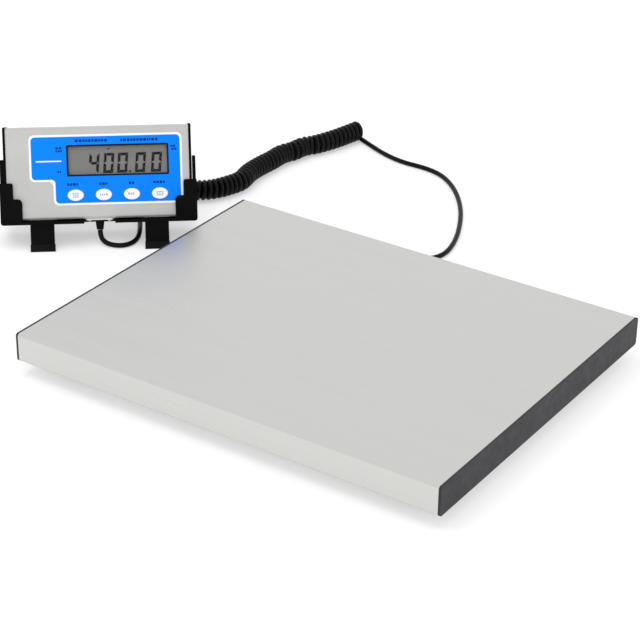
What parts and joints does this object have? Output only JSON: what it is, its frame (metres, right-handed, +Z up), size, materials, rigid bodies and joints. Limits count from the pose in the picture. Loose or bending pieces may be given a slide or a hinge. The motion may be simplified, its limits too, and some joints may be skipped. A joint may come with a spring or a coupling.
{
  "type": "platform shipping scale",
  "caption": "Low stainless weighing platform joined by a coiled cord to a separate display unit that stands in a black cradle on fold-out legs.",
  "frame": {"origin": "on the table, under the middle of the weighing platform", "axes": "+X along the platform's long side, +Y to its back, +Z up"},
  "size_m": [0.5732, 0.5405, 0.0986],
  "materials": {
    "stainless": "satin, brushed along the length",
    "case_silver": "satin silver",
    "black_abs": "moulded, lightly textured",
    "frame_steel": "satin black paint",
    "zinc_steel": "zinc plated",
    "rubber": "matte",
    "cord_black": "smooth satin",
    "circuit_board": "solder mask",
    "components": "moulded",
    "label_blue": "satin printed film",
    "window_clear": "clear",
    "lcd_grey": "display glass",
    "key_white": "satin",
    "battery_wrap": "printed wrap",
    "lead_grey": "cable jacket"
  },
  "bodies": {
    "root": {"platter_cover": "stainless", "end_cap_left": "black_abs", "end_cap_right": "black_abs", "base_plate": "zinc_steel", "base_screws": "zinc_steel", "frame_sleeves": "zinc_steel", "beam_front": "frame_steel", "beam_rear": "frame_steel", "cross_member_left": "frame_steel", "cross_member_right": "frame_steel", "cell_carriers": "frame_steel", "summing_board": "circuit_board", "summing_board_parts": "components", "cell_leads": "lead_grey", "signal_lead": "cord_black", "base_gland": "black_abs", "gland_nut": "black_abs", "cradle": "black_abs", "leg_pins": "zinc_steel", "heel_pads": "rubber", "cord_loop": "cord_black", "cord_coil": "cord_black", "cord_tail": "cord_black", "load_cell_front_left": "zinc_steel", "load_cell_front_right": "zinc_steel", "load_cell_rear_left": "zinc_steel", "load_cell_rear_right": "zinc_steel"},
    "foot_front_left": {"foot_front_left": "zinc_steel", "foot_pad_front_left": "rubber"},
    "foot_front_right": {"foot_front_right": "zinc_steel", "foot_pad_front_right": "rubber"},
    "foot_rear_left": {"foot_rear_left": "zinc_steel", "foot_pad_rear_left": "rubber"},
    "foot_rear_right": {"foot_rear_right": "zinc_steel", "foot_pad_rear_right": "rubber"},
    "indicator": {"case_shell": "case_silver", "end_plate_left": "black_abs", "end_plate_right": "black_abs", "end_plate_screws": "zinc_steel", "rear_cover": "black_abs", "battery_tray": "black_abs", "batteries": "battery_wrap", "overlay": "label_blue", "lcd_window": "window_clear", "lcd_module": "lcd_grey", "main_board": "circuit_board", "board_parts": "components", "dc_jack": "black_abs", "cable_entry_plate": "zinc_steel", "entry_screws": "zinc_steel", "cord_boot": "rubber"},
    "battery_door": {"battery_door": "black_abs"},
    "key_1": {"key_1": "key_white"},
    "key_2": {"key_2": "key_white"},
    "key_3": {"key_3": "key_white"},
    "key_4": {"key_4": "key_white"},
    "leg_left": {"leg_left": "black_abs", "toe_pad_left": "rubber"},
    "leg_right": {"leg_right": "black_abs", "toe_pad_right": "rubber"}
  },
  "joints": [
    {"name": "foot_front_left_press", "type": "slide", "parent": "root", "child": "foot_front_left", "axis": [0, 0, 1], "range_m": [0, 0.0005], "stiffness_N_per_m": 5000, "springref_m": -0.004, "deforming": ["load_cell_front_left"]},
    {"name": "foot_front_right_press", "type": "slide", "parent": "root", "child": "foot_front_right", "axis": [0, 0, 1], "range_m": [0, 0.0005], "stiffness_N_per_m": 5000, "springref_m": -0.004, "deforming": ["load_cell_front_right"]},
    {"name": "foot_rear_left_press", "type": "slide", "parent": "root", "child": "foot_rear_left", "axis": [0, 0, 1], "range_m": [0, 0.0005], "stiffness_N_per_m": 5000, "springref_m": -0.004, "deforming": ["load_cell_rear_left"]},
    {"name": "foot_rear_right_press", "type": "slide", "parent": "root", "child": "foot_rear_right", "axis": [0, 0, 1], "range_m": [0, 0.0005], "stiffness_N_per_m": 5000, "springref_m": -0.004, "deforming": ["load_cell_rear_right"]},
    {"name": "indicator_lift", "type": "slide", "parent": "root", "child": "indicator", "axis": [-0.2352, 0.2915, 0.9272], "range_m": [0, 0.08]},
    {"name": "battery_door_slide", "type": "slide", "parent": "indicator", "child": "battery_door", "axis": [-0.2352, 0.2915, 0.9272], "range_m": [0, 0.048]},
    {"name": "key_1_press", "type": "slide", "parent": "indicator", "child": "key_1", "axis": [-0.5822, 0.7216, -0.3746], "range_m": [0, 0.0004], "stiffness_N_per_m": 1000, "springref_m": -0.0004},
    {"name": "key_2_press", "type": "slide", "parent": "indicator", "child": "key_2", "axis": [-0.5822, 0.7216, -0.3746], "range_m": [0, 0.0004], "stiffness_N_per_m": 1000, "springref_m": -0.0004},
    {"name": "key_3_press", "type": "slide", "parent": "indicator", "child": "key_3", "axis": [-0.5822, 0.7216, -0.3746], "range_m": [0, 0.0004], "stiffness_N_per_m": 1000, "springref_m": -0.0004},
    {"name": "key_4_press", "type": "slide", "parent": "indicator", "child": "key_4", "axis": [-0.5822, 0.7216, -0.3746], "range_m": [0, 0.0004], "stiffness_N_per_m": 1000, "springref_m": -0.0004},
    {"name": "leg_left_fold", "type": "hinge", "parent": "root", "child": "leg_left", "pos_m": [-0.32054, 0.03241, 0.02236], "axis": [0.7782, 0.628, 0], "range_deg": [0, 90]},
    {"name": "leg_right_fold", "type": "hinge", "parent": "root", "child": "leg_right", "pos_m": [-0.24365, 0.09445, 0.02236], "axis": [0.7782, 0.628, 0], "range_deg": [0, 90]}
  ]
}
